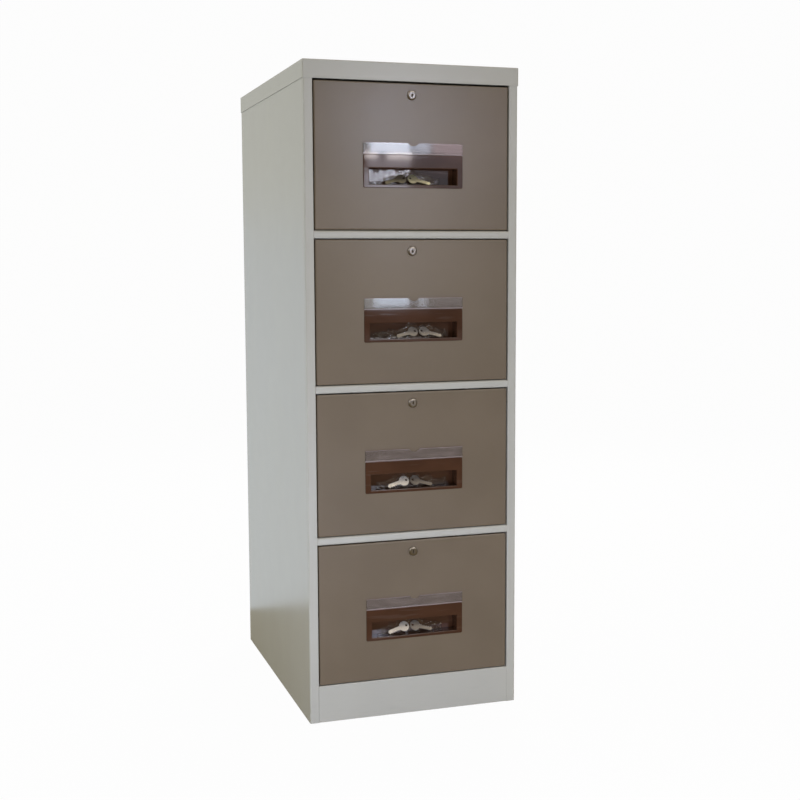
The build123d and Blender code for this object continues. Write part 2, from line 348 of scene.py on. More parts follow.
@dataclass(frozen=True)
class Enamel:
    """Stoved enamel on sheet steel: orange peel, faint clouding, slack of the sheet and dust.

    The roughness of a sheet stays on one side of 0.27 all over. The renderer's denoiser changes its way of
    working there, and a line would show on the sheet.
    """

    name: str
    colour: Colour
    roughness: float
    clouding: float = 0.03
    speckle: float = 0.03
    scuff: float = 0.0
    touch: float = 0.0
    slack_depth: float = 0.5 * MM
    peel_depth: float = 22e-6
    grain_depth: float = 3e-6
    clouds: Pattern = Pattern(7.0, 3.0, limits=(0.3, 0.7))
    clouds_roughness: float = 0.08
    streaks: Pattern = Pattern(16.0, 2.0, (1.0, 1.0, 0.25), 3.7, (0.35, 0.65))
    streaks_share: float = 0.5
    streaks_tint: Colour = (0.985, 0.985, 1.0)
    grain: Pattern = Pattern(900.0, limits=(0.3, 0.7))
    speckle_shade: float = 0.5
    dust: Pattern = Pattern(40.0, 4.0, shift=9.1, limits=(0.25, 0.8))
    dust_facing: Limits = (0.6, 0.95)
    dust_share: float = 0.12
    dust_colour: Colour = (0.52, 0.5, 0.46)
    scuffs: Pattern = Pattern(30.0, 5.0, (1.0, 1.0, 5.0), 1.3, (0.55, 0.72))
    scuff_height: float = 90 * MM
    scuff_shade: float = 0.42
    touches: Pattern = Pattern(55.0, 4.0, shift=5.3, limits=(0.5, 0.75))
    matting: float = 0.1
    slack: Pattern = Pattern(3.0, shift=2.9)
    peel: Pattern = Pattern(330.0)

    def build(self) -> bpy.types.Material:
        """Makes the material.

        Returns:
            The material.
        """
        net, material = Net.of_material(self.name)
        clouds, speck = self.clouds.noise(net), self.grain.noise(net)
        tone = net.blend(clouds.step(*self.clouds.limits), shade(self.colour, 1 - self.clouding),
                         shade(self.colour, 1 + self.clouding))
        tone = net.blend(self.streaks.mask(net) * self.streaks_share, tone, self.streaks_tint, "MULTIPLY")
        tone = net.blend(speck.step(*self.grain.limits) * self.speckle, tone,
                         shade(self.colour, self.speckle_shade))
        dust = net.facing_up(*self.dust_facing) * self.dust.mask(net) * self.dust_share
        tone = net.blend(dust, tone, self.dust_colour)
        rough = self.roughness + (clouds - 0.5) * self.clouds_roughness + dust * self.matting
        if self.scuff:
            rub = net.axis("Z").step(self.scuff_height, 0.0) * self.scuffs.mask(net) * self.scuff
            tone = net.blend(rub, tone, shade(self.colour, self.scuff_shade))
            rough = rough + rub * self.matting
        if self.touch:
            rough = rough + self.touches.mask(net) * self.touch
        slack = net.bump(self.slack.noise(net), self.slack_depth)
        peel = net.bump(self.peel.noise(net), self.peel_depth, slack)
        grain = net.bump(speck, self.grain_depth, peel)
        net.surface(net.principled(Base_Color=tone, Roughness=rough, Normal=grain))
        return material


@dataclass(frozen=True)
class RunnerZinc:
    """Bright zinc on drawn steel: grain along the runner, dull patches, spangles and a film of grease."""

    name: str
    colour: Colour
    roughness: float = 0.36
    metallic: float = 0.7
    grain: Pattern = Pattern(900.0, 3.0, (1.0, 0.02, 1.0))
    grain_roughness: float = 0.25
    grain_depth: float = 6e-6
    patches: Pattern = Pattern(60.0, 4.0, limits=(0.35, 0.7))
    patch_shade: float = 0.78
    spangles_per_metre: float = 140.0
    spangle_share: float = 0.12
    spangle_colour: Colour = (0.85, 0.87, 0.9)
    spangle_roughness: float = 0.08
    grease: Pattern = Pattern(22.0, 3.0, (1.0, 0.3, 1.0), 4.4, (0.52, 0.7))
    grease_share: float = 0.25
    grease_colour: Colour = (0.44, 0.41, 0.34)
    grease_gloss: float = 0.25

    def build(self) -> bpy.types.Material:
        """Makes the material.

        Returns:
            The material.
        """
        net, material = Net.of_material(self.name)
        grain = self.grain.noise(net)
        cells = net.add("ShaderNodeTexVoronoi", {"feature": "F1"},
                        {"Vector": net.place(), "Scale": self.spangles_per_metre}, "Color")
        spangle = net.part(cells, "X")
        tone = net.blend(self.patches.mask(net), self.colour, shade(self.colour, self.patch_shade))
        tone = net.blend(spangle * self.spangle_share, tone, self.spangle_colour)
        film = self.grease.mask(net) * self.grease_share
        tone = net.blend(film, tone, self.grease_colour)
        rough = self.roughness + (grain - 0.5) * self.grain_roughness
        rough = rough + (spangle - 0.5) * self.spangle_roughness - film * self.grease_gloss
        normal = net.bump(grain, self.grain_depth)
        net.surface(net.principled(Base_Color=tone, Metallic=self.metallic, Roughness=rough, Normal=normal))
        return material


@dataclass(frozen=True)
class MouldedPlastic:
    """Glossy moulded plastic: a little flow mottling, fine grain, dust in the pocket and hairline marks."""

    name: str
    colour: Colour
    roughness: float = 0.045
    flow: Pattern = Pattern(28.0, 3.0, (0.4, 1.0, 1.0), limits=(0.3, 0.7))
    flow_shades: tuple[float, float] = (0.9, 1.12)
    flow_roughness: float = 0.02
    hairs: Pattern = Pattern(160.0, 6.0, (0.08, 1.0, 1.0), 6.2, (0.6, 0.68))
    hair_share: float = 0.04
    hair_colour: Colour = (0.3, 0.26, 0.22)
    dust: Pattern = Pattern(260.0, 4.0, limits=(0.4, 0.75))
    dust_facing: Limits = (0.5, 0.95)
    dust_share: float = 0.15
    dust_colour: Colour = (0.26, 0.23, 0.2)
    dust_roughness: float = 0.8
    draw: Pattern = Pattern(70.0, 1.0, (0.12, 1.0, 1.0), 3.1)
    draw_depth: float = 9e-6
    grain: Pattern = Pattern(1400.0)
    grain_depth: float = 1e-6

    def build(self) -> bpy.types.Material:
        """Makes the material.

        Returns:
            The material.
        """
        net, material = Net.of_material(self.name)
        flow = self.flow.noise(net)
        tone = net.blend(flow.step(*self.flow.limits), *(shade(self.colour, f) for f in self.flow_shades))
        dust = net.facing_up(*self.dust_facing) * self.dust.mask(net) * self.dust_share
        tone = net.blend(dust, tone, self.dust_colour)
        hairs = self.hairs.mask(net) * self.hair_share
        tone = net.blend(hairs, tone, self.hair_colour)
        rough = self.roughness + (flow - 0.5) * self.flow_roughness + dust * self.dust_roughness + hairs
        draw = net.bump(self.draw.noise(net), self.draw_depth)
        grain = net.bump(self.grain.noise(net), self.grain_depth, draw)
        net.surface(net.principled(Base_Color=tone, Roughness=rough, Normal=grain))
        return material


@dataclass(frozen=True)
class PaintedEdgeHighlight:
    """Painted highlight: a lighter tone and more body on the lip and the top edge of clear strips one pitch
    apart, where those edges look lit.
    """

    bottom: float
    lip: float
    top: float
    pitch: float
    rim: float = 1.5 * MM
    soft: float = 0.5 * MM
    # Colour of the painted highlight, and the body that it adds.
    colour: Colour = (0.34, 0.27, 0.25)
    body: float = 0.25

    def mask(self, net: Net) -> Signal:
        """1 on the lip and at the top edge of every strip, 0 between them.

        Args:
            net: The net of the strip's material.

        Returns:
            The mask.
        """
        above = (net.axis("Z") - self.bottom) % self.pitch
        lip = above.step(self.lip + self.soft, self.lip - self.soft)
        rim = above.step(self.top - self.rim, self.top - self.soft)
        return lip.high(rim * above.step(self.pitch - self.soft, self.top + self.soft))


@dataclass(frozen=True)
class ClearPlastic:
    """Clear sheet that mirrors from both faces, with haze, wipe marks, soft waves and, where given, a
    painted highlight on its edges.
    """

    name: str
    haze: Colour
    body: float
    roughness: float
    wave_per_metre: float
    wave_depth: float
    ior: float = 1.5
    painted_edge_highlight: "PaintedEdgeHighlight | None" = None
    wipes: Pattern = Pattern(120.0, 4.0, (0.25, 1.0, 1.0), limits=(0.4, 0.7))
    wipe_shade: float = 1.35
    wipe_body: float = 0.06
    wipe_body_limits: Limits = (0.45, 0.75)
    wipe_roughness: float = 0.04
    specks: Pattern = Pattern(700.0, 2.0, limits=(0.66, 0.75))
    speck_body: float = 0.08

    def build(self) -> bpy.types.Material:
        """Makes the material. Its highest specular level stands for the two faces of a sheet.

        Returns:
            The material.
        """
        net, material = Net.of_material(self.name)
        wipes = self.wipes.noise(net)
        tone = net.blend(wipes.step(*self.wipes.limits), self.haze, shade(self.haze, self.wipe_shade))
        alpha = self.body + wipes.step(*self.wipe_body_limits) * self.wipe_body
        alpha = alpha + self.specks.mask(net) * self.speck_body
        rough = self.roughness + (wipes - 0.5) * self.wipe_roughness
        if self.painted_edge_highlight is not None:
            # Painted highlight: the lip and the top edge get a lighter tone and more body.
            edge = self.painted_edge_highlight.mask(net)
            tone = net.blend(edge, tone, self.painted_edge_highlight.colour)
            alpha = alpha + edge * self.painted_edge_highlight.body
        normal = net.bump(Pattern(self.wave_per_metre).noise(net), self.wave_depth)
        net.surface(net.principled(Base_Color=tone, Roughness=rough, Alpha=alpha, Normal=normal,
                                   Specular_IOR_Level=1.0, IOR=self.ior))
        return material


@dataclass(frozen=True)
class PaintedPlugShade:
    """Painted shade in the middle of the lock plugs, where the keyway lies dark; the plugs lie one pitch
    apart, on axes along Y.
    """

    x: float
    z: float
    pitch: float
    inner: float = 1.4 * MM
    outer: float = 3.4 * MM
    roughness: float = 0.3

    def mask(self, net: Net) -> Signal:
        """1 in the middle of a plug, 0 beyond outer.

        Args:
            net: The net of the plug's material.

        Returns:
            The mask.
        """
        aside = net.axis("X") - self.x
        above = (net.axis("Z") - (self.z - self.pitch / 2)) % self.pitch - self.pitch / 2
        return ((aside * aside + above * above) ** 0.5).step(self.outer, self.inner)


@dataclass(frozen=True)
class PaintedShadePatch:
    """Painted shade: a block of space in which the metal is darkened, such as one key of a pair that lies
    dimmer than the other.
    """

    x: Limits
    z: Limits
    colour: Colour
    share: float
    soft: float = 0.5 * MM

    def mask(self, net: Net) -> Signal:
        """1 inside the block's limits along X and Z, 0 outside.

        Args:
            net: The net of the metal's material.

        Returns:
            The mask.
        """
        inside = net.axis("Z").step(self.z[0] - self.soft, self.z[0])
        inside = inside * net.axis("Z").step(self.z[1] + self.soft, self.z[1])
        inside = inside * net.axis("X").step(self.x[0] - self.soft, self.x[0])
        return inside * net.axis("X").step(self.x[1] + self.soft, self.x[1])


@dataclass(frozen=True)
class PolishedMetal:
    """Plated or solid metal: fine scratches, faint stains, and painted shade in the middle of the lock
    plugs and on keys that lie dimmer.
    """

    name: str
    colour: Colour
    tarnish_and_plug_shade: Colour
    roughness: float
    metallic: float = 1.0
    painted_plug_shade: "PaintedPlugShade | None" = None
    # Blocks of painted shade.
    dull: "tuple[PaintedShadePatch, ...]" = ()
    stains: Pattern = Pattern(320.0, 4.0, limits=(0.45, 0.8))
    stain_share: float = 0.5
    stain_roughness: float = 0.12
    stain_roughness_limits: Limits = (0.4, 0.8)
    level_scratches: Pattern = Pattern(2600.0, 3.0, (0.15, 1.0, 1.0))
    upright_scratches: Pattern = Pattern(2600.0, 3.0, (1.0, 1.0, 0.12), 7.7)
    scratch_roughness: float = 0.15
    scratch_depth: float = 4e-6

    def build(self) -> bpy.types.Material:
        """Makes the material. The two kinds of scratches are added up, so their sum lies around 1.

        Returns:
            The material.
        """
        net, material = Net.of_material(self.name)
        stains = self.stains.noise(net)
        scratches = self.level_scratches.noise(net) + self.upright_scratches.noise(net)
        tone = net.blend(stains.step(*self.stains.limits) * self.stain_share, self.colour, self.tarnish_and_plug_shade)
        rough = self.roughness + stains.step(*self.stain_roughness_limits) * self.stain_roughness
        rough = rough + (scratches - 1.0) * self.scratch_roughness
        if self.painted_plug_shade is not None:
            # Painted shade: the middle of each lock plug is darkened to the stain colour and made rougher,
            # where the keyway lies in shade.
            plug_shaded = self.painted_plug_shade.mask(net)
            tone = net.blend(plug_shaded, tone, self.tarnish_and_plug_shade)
            rough = rough + plug_shaded * self.painted_plug_shade.roughness
        # Painted shade on keys that lie dimmer, within their blocks.
        for patch in self.dull:
            tone = net.blend(patch.mask(net) * patch.share, tone, patch.colour)
        normal = net.bump(scratches * 0.5, self.scratch_depth)
        net.surface(net.principled(Base_Color=tone, Metallic=self.metallic, Roughness=rough, Normal=normal))
        return material


def strip_edge_highlights() -> PaintedEdgeHighlight:
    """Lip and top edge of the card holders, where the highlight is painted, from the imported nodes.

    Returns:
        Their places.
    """
    low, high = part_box("card_holder_4")
    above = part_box("card_holder_3")[0]
    return PaintedEdgeHighlight(bottom=low[2], lip=2.2 * MM, top=high[2] - low[2], pitch=above[2] - low[2])


def shaded_keys(shares: dict[tuple[int, Side], float], colour: Colour) -> tuple[PaintedShadePatch, ...]:
    """Blocks around the keys that get painted shade.

    Args:
        shares: Share of painted shade by the drawer's number and the side of its key pair.
        colour: Colour of the painted shade.

    Returns:
        One block for each entry.
    """
    patches = []
    for (number, side), share in shares.items():
        low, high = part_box(f"keys_{number}")
        across = tuple(low[0] + (high[0] - low[0]) * part for part in side.value)
        patches.append(PaintedShadePatch(across, (low[2], high[2]), colour, share))
    return tuple(patches)


def plug_shade_axes() -> PaintedPlugShade:
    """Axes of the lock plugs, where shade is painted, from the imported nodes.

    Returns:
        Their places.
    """
    (low, high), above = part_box("lock_plug_4"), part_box("lock_plug_3")[0]
    return PaintedPlugShade(x=(low[0] + high[0]) / 2, z=(low[2] + high[2]) / 2, pitch=above[2] - low[2])


class Finishes:
    """One material for each slot of the record, and the film that only the looks have."""

    def __init__(self) -> None:
        """Builds the materials."""
        # Painted shade on the keys that lie dimmer: colours, and shares by drawer and side.
        brass_key_shade, nickel_key_shade = (0.20, 0.175, 0.14), (0.17, 0.145, 0.12)
        brass_shade_shares = {(1, Side.LEFT): 0.85}
        nickel_shade_shares = {(2, Side.BOTH): 0.55, (3, Side.RIGHT): 0.92, (4, Side.LEFT): 0.3,
                       (4, Side.RIGHT): 0.9}
        makers = {
            Slot.CABINET: Enamel("cabinet_enamel_finish", (0.452, 0.437, 0.374), roughness=0.24,
                                 clouding=0.012, speckle=0.01, peel_depth=12e-6, slack_depth=0.25 * MM,
                                 scuff=0.06),
            Slot.DRAWER: Enamel("drawer_enamel_finish", (0.161, 0.1235, 0.082), roughness=0.23,
                                clouding=0.04, speckle=0.05, touch=0.01),
            Slot.TRAY: Enamel("tray_enamel_finish", (0.40, 0.40, 0.38), roughness=0.45),
            Slot.RUNNER: RunnerZinc("runner_zinc_finish", (0.62, 0.63, 0.62)),
            Slot.HANDLE: MouldedPlastic("handle_plastic_finish", (0.056, 0.024, 0.013)),
            # The card strips carry a painted highlight on their lip and top edge.
            Slot.CARD: ClearPlastic("card_window_finish", (0.182, 0.145, 0.124), body=0.48, roughness=0.04,
                                    wave_per_metre=18.0, wave_depth=30e-6, painted_edge_highlight=strip_edge_highlights()),
            # The chrome gets painted shade in the middle of each lock plug.
            Slot.CHROME: PolishedMetal("lock_chrome_finish", (0.44, 0.43, 0.42), (0.36, 0.33, 0.30),
                                       roughness=0.30, painted_plug_shade=plug_shade_axes()),
            Slot.CAM: PolishedMetal("lock_steel_finish", (0.55, 0.55, 0.54), (0.4, 0.38, 0.33),
                                    roughness=0.35),
            Slot.BRASS: PolishedMetal("key_brass_finish", (1.0, 0.97, 0.70), (0.80, 0.72, 0.48),
                                      roughness=0.34, metallic=0.8,
                                      dull=shaded_keys(brass_shade_shares, brass_key_shade)),
            Slot.NICKEL: PolishedMetal("key_nickel_finish", (0.86, 0.81, 0.74), (0.62, 0.56, 0.48),
                                       roughness=0.38, metallic=0.6,
                                       dull=shaded_keys(nickel_shade_shares, nickel_key_shade)),
        }
        self._materials = {slot: maker.build() for slot, maker in makers.items()}
        self.film = ClearPlastic("bag_film_finish", (0.09, 0.065, 0.05), body=0.13, roughness=0.08,
                                 wave_per_metre=220.0, wave_depth=50e-6, ior=2.3).build()
        rows = frame["record"]["subparts"]
        self._slot_of = {row["node"]: Slot(row["material_slot"]) for row in rows}

    def dress(self, node: str) -> None:
        """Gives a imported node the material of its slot.

        Args:
            node: Name of the node.
        """
        shown = frame["nodes"][node]
        for holder in shown.material_slots:
            holder.material = self._materials[self._slot_of[node]]


def grid_faces(rows: int, columns: int, closed: bool = False) -> np.ndarray:
    """Corner indices of the quads of a grid whose points run column by column within each row.

    Args:
        rows: Points along the first parameter.
        columns: Points along the second.
        closed: Whether the last column joins the first again.

    Returns:
        One row of four indices for each quad.
    """
    column = np.append(np.arange(columns), 0) if closed else np.arange(columns)
    corner = np.arange(rows)[:, None] * columns + column[None, :]
    quads = np.stack([corner[:-1, :-1], corner[1:, :-1], corner[1:, 1:], corner[:-1, 1:]], axis=-1)
    return quads.reshape(-1, 4)


def make_piece(name: str, points: np.ndarray, faces: np.ndarray,
               material: bpy.types.Material) -> bpy.types.Object:
    """Makes a smooth mesh object at the origin.

    Args:
        name: Name of the object.
        points: One row of X, Y, Z for each vertex, in metres.
        faces: One row of four indices for each quad.
        material: Its only material.

    Returns:
        The object, linked to the scene.
    """
    mesh = bpy.data.meshes.new(name)
    mesh.from_pydata(points.tolist(), [], faces.tolist())
    mesh.materials.append(material)
    mesh.polygons.foreach_set("use_smooth", np.full(len(mesh.polygons), True))
    mesh.update()
    piece = bpy.data.objects.new(name, mesh)
    bpy.context.scene.collection.objects.link(piece)
    return piece


@dataclass
class Carcass:
    """The fixed body of the cabinet: sides, back, cap, plinth, rails and uprights."""

    finishes: Finishes
    body: str = "carcass"

    def dress(self) -> None:
        """Gives every fixed node its finish."""
        members = frame["record"]["behaviour"]["bodies"][self.body]
        for node in members:
            self.finishes.dress(node)
        log.info("carcass: %d nodes dressed", len(members))


@dataclass
class FilmBag:
    """The thin clear bag around the two keys in a handle's pocket. It is crumpled and lies at the back."""

    number: int
    finishes: Finishes
    left: float
    right: float
    seed: int
    flap: "Flap | None" = None
    slack_height: float = 13 * MM
    full_height: float = 26 * MM
    full_half_width: float = 46 * MM
    thickness: float = 17 * MM
    seal_share: float = 0.12
    swell_power: float = 0.3
    squareness: float = 0.55
    creases: int = 10
    crease_depth: float = 1.9 * MM
    crease_lift: float = 1.5
    shortest_crease: float = 10 * MM
    longest_crease: float = 46 * MM
    most_turns: int = 4
    stations: int = 190
    points_round: int = 122
    wall: float = 0.05 * MM
    mouth_gap: float = 2 * MM

    def build(self) -> None:
        """Makes the bag, which rides with its drawer."""
        bag = make_piece(f"film_bag_{self.number}", *self._surface(), self.finishes.film)
        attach(bag, f"drawer_{self.number}")
        log.info("%s: %d points", bag.name, len(bag.data.vertices))

    def _surface(self) -> tuple[np.ndarray, np.ndarray]:
        """Works out the bag as a closed surface of two parameters.

        The first parameter runs along X between the two seals, the second round a squarish section: Y is
        the back of the pocket less half the thickness times one minus the cosine's root, Z the pocket's
        floor plus half the height times one plus the sine's root. The thickness follows the root of a sine
        along X, so that both ends close to a flat seal, and the height is a bell over the keys on a slack
        rest. The creases are triangle waves added along the section's outward direction. Points past the
        pocket's floor, back or mouth are pressed flat against it.

        Returns:
            Points and faces.
        """
        back, floor, front, middle = self._pocket()
        along = np.linspace(0.0, 1.0, self.stations)[:, None]
        angle = np.linspace(0.0, 2 * math.pi, self.points_round, endpoint=False)[None, :]
        x = self.left + (self.right - self.left) * along
        x = np.broadcast_to(x, (self.stations, self.points_round))
        swell = np.sin(math.pi * along) ** self.swell_power
        across, upward = np.cos(angle), np.sin(angle)
        depth = self.thickness / 2 * swell * (1 - np.sign(across) * np.abs(across) ** self.squareness)
        bell = np.exp(-((x - middle) / self.full_half_width) ** 4)
        height = self.slack_height + (self.full_height - self.slack_height) * bell
        rise = height / 2 * (1 + np.sign(upward) * np.abs(upward) ** self.squareness)
        crumple = self._crumple(x, angle) * swell
        y = back - depth + across * crumple
        z = floor + rise + upward * crumple * self.crease_lift
        if self.flap is not None:
            y, z = self.flap.press(x, y, z, across, back, floor)
        y, z = np.clip(y, front, back), np.maximum(z, floor)
        y[[0, -1]] = back - self.thickness * self.seal_share
        points = np.stack([x, y, z], axis=-1).reshape(-1, 3)
        return points, grid_faces(self.stations, self.points_round, closed=True)

    def _pocket(self) -> tuple[float, float, float, float]:
        """Where the bag lies.

        Returns:
            Y of the pocket's back, Z of its floor, the Y that the bag stays behind, and X of the keys.
        """
        low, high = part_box(f"keys_{self.number}")
        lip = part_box(f"handle_{self.number}")[0][1]
        return high[1] + self.wall, low[2] - self.wall, lip + self.mouth_gap, (low[0] + high[0]) / 2

    def _crumple(self, x: np.ndarray, angle: np.ndarray) -> np.ndarray:
        """Sum of triangle waves over X and the angle round the section.

        Args:
            x: Places along X.
            angle: Angles round the section.

        Returns:
            Height of the creases.
        """
        draw = np.random.default_rng(self.seed)
        total = np.zeros(x.shape)
        for _ in range(self.creases):
            length = draw.uniform(self.shortest_crease, self.longest_crease)
            turns = draw.integers(-self.most_turns, self.most_turns + 1)
            phase = x / length + turns * angle / (2 * math.pi) + draw.uniform()
            total += np.abs((phase % 1.0) * 2 - 1) - 0.5
        return total * self.crease_depth


@dataclass(frozen=True)
class Flap:
    """A flat part of a bag's front that stands upright on a fold rising to the right."""

    start: tuple[float, float] = (-85 * MM, 5 * MM)
    rise: float = 0.23
    right: float = 2 * MM
    top: float = 30 * MM
    least_height: float = 1 * MM
    proud: float = 13 * MM
    tuck: float = 0.6
    soft: float = 5 * MM
    turn_sharpness: float = 3.0

    def press(self, x: np.ndarray, y: np.ndarray, z: np.ndarray, across: np.ndarray, back: float,
              floor: float) -> tuple[np.ndarray, np.ndarray]:
        """Draws the front of the bag up to a flat sheet left of a line, and tucks it back below its fold.

        Left of right, the front's points are spread up to top. Above the fold line, which begins at start
        and rises by rise for each metre of X, the sheet lies proud of the back; below it, the sheet leans
        back by tuck for each metre below the line.

        Args:
            x: Places along X.
            y: Places along Y.
            z: Places along Z.
            across: Cosine of the angle round the section; below 0 in front.
            back: Y of the pocket's back.
            floor: Z of the pocket's floor.

        Returns:
            The new Y and Z.
        """
        share = np.clip((self.right - x) / self.soft + 0.5, 0.0, 1.0)
        tallest = np.maximum(z.max(axis=1, keepdims=True) - floor, self.least_height)
        stretched = floor + (z - floor) * (1 + share * (self.top / tallest - 1))
        fold = floor + self.start[1] + self.rise * (x - self.start[0])
        sheet = back - self.proud + self.tuck * np.maximum(fold - stretched, 0.0)
        pressed = share * np.clip(-across * self.turn_sharpness, 0.0, 1.0)
        return y + (sheet - y) * pressed, stretched


BAGS = {
    1: {"left": -91 * MM, "right": 64 * MM, "seed": 5, "flap": Flap()},
    2: {"left": -78 * MM, "right": 78 * MM, "seed": 11},
    3: {"left": -74 * MM, "right": 78 * MM, "seed": 23},
    4: {"left": -74 * MM, "right": 68 * MM, "seed": 37},
}


@dataclass
class Drawer:
    """One drawer with its front, tray, handle, card holder, lock, keys and moving runner members."""

    number: int
    finishes: Finishes

    def build(self) -> None:
        """Dresses the drawer's nodes and makes its film bag."""
        self._dress()
        FilmBag(self.number, self.finishes, **BAGS[self.number]).build()

    def _dress(self) -> None:
        """Gives every node that moves with this drawer its finish."""
        bodies = frame["record"]["behaviour"]["bodies"]
        members = [node for kind in ("drawer", "runner", "lock")
                   for node in bodies[f"{kind}_{self.number}"]]
        for node in members:
            self.finishes.dress(node)
        log.info("drawer %d: %d nodes dressed", self.number, len(members))


@dataclass(frozen=True)
class Viewpoint:
    """The camera, at the photograph's place: found by fitting the cabinet's edges."""

    place: Point = (-0.8180, -2.7506, 0.9329)
    yaw_deg: float = -17.885
    pitch_deg: float = 6.207
    roll_deg: float = -0.248
    focal_px: float = 1278.2
    image_px: float = 800.0
    sensor_mm: float = 36.0

    def build(self) -> None:
        """Makes the camera. Its right, up and backward directions are the columns of its turn."""
        yaw, pitch, roll = (math.radians(a) for a in (self.yaw_deg, self.pitch_deg, self.roll_deg))
        ahead = Vector((-math.sin(yaw) * math.cos(pitch), math.cos(yaw) * math.cos(pitch),
                        -math.sin(pitch)))
        level = Vector((math.cos(yaw), math.sin(yaw), 0.0))
        upright = level.cross(ahead)
        right = math.cos(roll) * level + math.sin(roll) * upright
        up = math.cos(roll) * upright - math.sin(roll) * level
        data = bpy.data.cameras.new("camera")
        data.sensor_width = self.sensor_mm
        data.lens = self.focal_px * self.sensor_mm / self.image_px
        camera = bpy.data.objects.new("camera", data)
        turn = Matrix((right, up, -ahead)).transposed().to_4x4()
        camera.matrix_world = Matrix.Translation(self.place) @ turn
        bpy.context.scene.collection.objects.link(camera)
        bpy.context.scene.camera = camera
        log.info("camera: %.1f mm lens", data.lens)


@dataclass(frozen=True)
class SoftBox:
    """One rectangular lamp, which the camera never sees and glossy surfaces see only if it is mirrored."""

    name: str
    place: Point
    aim: Point
    width: float
    height: float
    radiance: float
    colour: Colour
    mirrored: bool = True

    def build(self) -> None:
        """Makes the lamp. A lamp of radiance L and area A sends out pi times L times A watts."""
        data = bpy.data.lights.new(self.name, "AREA")
        data.shape = "RECTANGLE"
        data.size = self.width
        data.size_y = self.height
        data.color = self.colour
        data.energy = math.pi * self.radiance * self.width * self.height
        lamp = bpy.data.objects.new(self.name, data)
        lamp.location = self.place
        lamp.rotation_mode = "QUATERNION"
        lamp.rotation_quaternion = (Vector(self.aim) - Vector(self.place)).to_track_quat("-Z", "Y")
        lamp.visible_camera = False
        lamp.visible_glossy = self.mirrored
        bpy.context.scene.collection.objects.link(lamp)


def opening(name: str, across: Limits, upright: Limits, radiance: float, colour: Colour) -> SoftBox:
    """A part of the window wall behind the camera, which the glossy parts of the fronts mirror.

    Args:
        name: Name of the lamp.
        across: Its left and right limit along X.
        upright: Its low and high limit along Z.
        radiance: Its radiance.
        colour: Its colour.

    Returns:
        The lamp, which faces along Y.
    """
    x, z = sum(across) / 2, sum(upright) / 2
    return SoftBox(name, (x, WINDOW_WALL_Y, z), (x, 0.0, z), across[1] - across[0],
                   upright[1] - upright[0], radiance, colour)


LAMPS = (
    SoftBox("key_lamp", (-1.2, -4.2, 1.6), aim=(0.0, 0.0, 0.7), width=0.9, height=0.8, radiance=5.0,
            colour=(1.05, 1.0, 0.90), mirrored=False),
    SoftBox("low_lamp", (-0.4, -1.5, 0.19), aim=(-0.1, -0.31, 0.15), width=1.8, height=0.4, radiance=4.5,
            colour=(0.87, 0.965, 1.27), mirrored=False),
    SoftBox("left_lamp", (-1.9, 0.3, 0.45), aim=(-0.22, 0.1, 0.5), width=1.4, height=0.5, radiance=2.8,
            colour=(0.89, 1.03, 1.04), mirrored=False),
    SoftBox("back_lamp", (1.3, 2.6, 2.4), aim=(0.0, 0.0, 0.7), width=1.4, height=1.2, radiance=9.0,
            colour=(1.0, 0.99, 0.97), mirrored=False),
    opening("window_top", (1.40, 1.645), (1.66, 2.14), 16.0, (0.967, 1.0, 1.24)),
    opening("window_low", (1.40, 1.645), (1.58, 1.66), 12.2, (0.91, 1.0, 1.20)),
    opening("window_foot_left", (1.37, 1.448), (1.548, 1.58), 15.0, (1.08, 0.97, 0.97)),
    opening("window_foot_right", (1.507, 1.665), (1.548, 1.58), 15.0, (1.08, 0.97, 0.97)),
    opening("sash", (1.38, 1.66), (1.485, 1.543), 3.3, (0.97, 0.95, 1.10)),
    opening("pane_high", (1.36, 1.65), (1.10, 1.47), 5.3, (0.97, 1.0, 1.16)),
    opening("pane_low", (1.36, 1.65), (0.74, 1.10), 5.0, (1.10, 0.98, 0.90)),
    opening("sill", (1.42, 1.645), (0.656, 0.74), 8.0, (0.85, 0.99, 1.19)),
    opening("mullion", (1.645, 1.70), (1.58, 2.10), 4.2, (0.87, 1.0, 1.30)),
    opening("side_light", (1.70, 1.785), (1.58, 2.02), 6.2, (0.92, 1.0, 1.24)),
    opening("curtain", (1.65, 1.80), (0.74, 1.37), 3.8, (1.12, 0.97, 0.93)),
    opening("curtain_foot", (1.695, 1.765), (0.648, 0.74), 4.0, (0.90, 1.0, 1.15)),
    opening("reveal", (1.28, 1.40), (1.58, 1.95), 1.4, (0.92, 1.0, 1.15)),
    opening("reveal_foot", (1.28, 1.42), (0.648, 0.74), 1.9, (0.90, 1.0, 1.0)),
    opening("wall", (1.80, 2.60), (1.575, 1.76), 3.1, (1.14, 0.87, 1.0)),
    opening("wall_low", (1.765, 2.10), (0.656, 0.74), 0.75, (1.0, 1.0, 1.0)),
    opening("skirting", (1.00, 2.20), (0.15, 0.50), 0.32, (1.03, 0.98, 0.99)),
    opening("wall_foot", (1.67, 2.40), (1.30, 1.565), 0.7, (0.81, 0.96, 1.23)),
)


